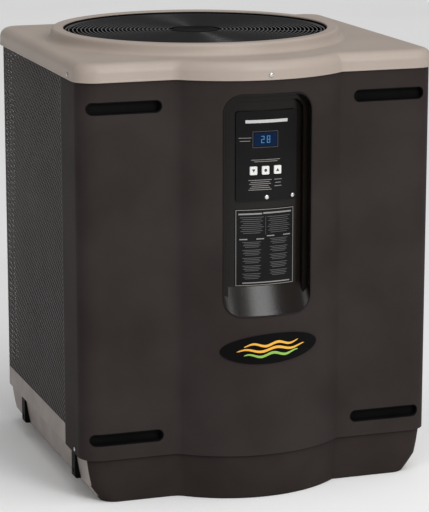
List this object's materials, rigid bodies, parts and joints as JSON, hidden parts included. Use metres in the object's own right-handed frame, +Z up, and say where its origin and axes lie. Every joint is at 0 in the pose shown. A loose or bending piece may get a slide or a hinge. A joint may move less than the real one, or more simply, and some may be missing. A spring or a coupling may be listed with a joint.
{
  "type": "pool heat pump",
  "caption": "Outdoor pool heat pump: dark cabinet with a curved front and recessed controls, beige cover with a top fan, mesh coil guards and side water unions.",
  "frame": {"origin": "middle of the cabinet, on the flat underside of the base where it stands on the ground", "axes": "+Z up, -Y out of the front with the controls, +X to the right as the front is seen"},
  "size_m": [0.9115, 0.8365, 1.04],
  "materials": {
    "beige_plastic": "satin moulded plastic, light warm beige",
    "brown_plastic": "satin moulded plastic with a fine grain, very dark brown",
    "black_plastic": "satin black plastic",
    "base_plastic": "moulded dark brown plastic",
    "guard_plastic": "dark mesh plastic",
    "galvanised_steel": "galvanised sheet",
    "aluminium_fins": "mill finish",
    "copper": "drawn copper tube",
    "steel_screw": "zinc plated",
    "black_paint": "satin black paint",
    "white_button": "satin white",
    "display_lens": "dark blue clear lens",
    "rubber": "matt",
    "printed_plate": "printed film, satin"
  },
  "bodies": {
    "cabinet": {"accumulator": "black_paint", "base_pan": "base_plastic", "compressor": "black_paint", "compressor_grommet_front_left": "rubber", "compressor_grommet_front_right": "rubber", "compressor_grommet_rear_left": "rubber", "compressor_grommet_rear_right": "rubber", "condensate_drain": "black_plastic", "conduit_gland": "black_plastic", "contactor": "black_plastic", "control_board": "printed_plate", "control_plate": "printed_plate", "control_plate_screw_centre": "steel_screw", "control_plate_screw_right": "steel_screw", "control_tub": "brown_plastic", "corner_post_front_left": "galvanised_steel", "corner_post_front_right": "galvanised_steel", "corner_post_rear_left": "galvanised_steel", "corner_post_rear_right": "galvanised_steel", "cover_screw_front": "steel_screw", "cover_screw_left": "steel_screw", "cover_screw_right": "steel_screw", "discharge_line": "copper", "display_window": "display_lens", "electrical_box": "galvanised_steel", "evaporator_coil": "aluminium_fins", "fan_guard": "black_plastic", "fan_motor": "black_paint", "filter_drier": "copper", "front_badge": "black_plastic", "front_shell": "brown_plastic", "heat_exchanger": "black_plastic", "hold_down_front_left": "black_plastic", "hold_down_front_right": "black_plastic", "hold_down_rear_left": "black_plastic", "hold_down_rear_right": "black_plastic", "instruction_plate": "printed_plate", "left_coil_guard": "guard_plastic", "liquid_line": "copper", "rear_coil_guard": "guard_plastic", "run_capacitor": "aluminium_fins", "service_panel": "brown_plastic", "service_panel_screw_lower": "steel_screw", "service_panel_screw_upper": "steel_screw", "slot_liner_lower_left": "black_plastic", "slot_liner_lower_right": "black_plastic", "slot_liner_upper_left": "black_plastic", "slot_liner_upper_right": "black_plastic", "suction_line": "copper", "top_cover": "beige_plastic", "water_inlet_union": "black_plastic", "water_outlet_union": "black_plastic", "wrap_screw": "steel_screw"},
    "fan": {"fan_shaft": "steel_screw", "fan_impeller": "black_plastic"},
    "button_down": {"button_down": "white_button"},
    "button_mode": {"button_mode": "white_button"},
    "button_up": {"button_up": "white_button"},
    "union_nut_inlet": {"union_nut_inlet": "black_plastic"},
    "union_nut_outlet": {"union_nut_outlet": "black_plastic"}
  },
  "joints": [
    {"name": "fan_spin", "type": "hinge", "parent": "cabinet", "child": "fan", "pos_m": [-0.031, 0.008, 0.9], "axis": [0, 0, 1], "continuous": true},
    {"name": "button_down_press", "type": "slide", "parent": "cabinet", "child": "button_down", "axis": [0, 1, 0], "range_m": [0, 0.0015], "stiffness_N_per_m": 800},
    {"name": "button_mode_press", "type": "slide", "parent": "cabinet", "child": "button_mode", "axis": [0, 1, 0], "range_m": [0, 0.0015], "stiffness_N_per_m": 800},
    {"name": "button_up_press", "type": "slide", "parent": "cabinet", "child": "button_up", "axis": [0, 1, 0], "range_m": [0, 0.0015], "stiffness_N_per_m": 800},
    {"name": "nut_inlet_turn", "type": "hinge", "parent": "cabinet", "child": "union_nut_inlet", "pos_m": [0.447, 0.12, 0.25], "axis": [1, 0, 0], "continuous": true},
    {"name": "nut_outlet_turn", "type": "hinge", "parent": "cabinet", "child": "union_nut_outlet", "pos_m": [0.447, 0.12, 0.42], "axis": [1, 0, 0], "continuous": true}
  ]
}
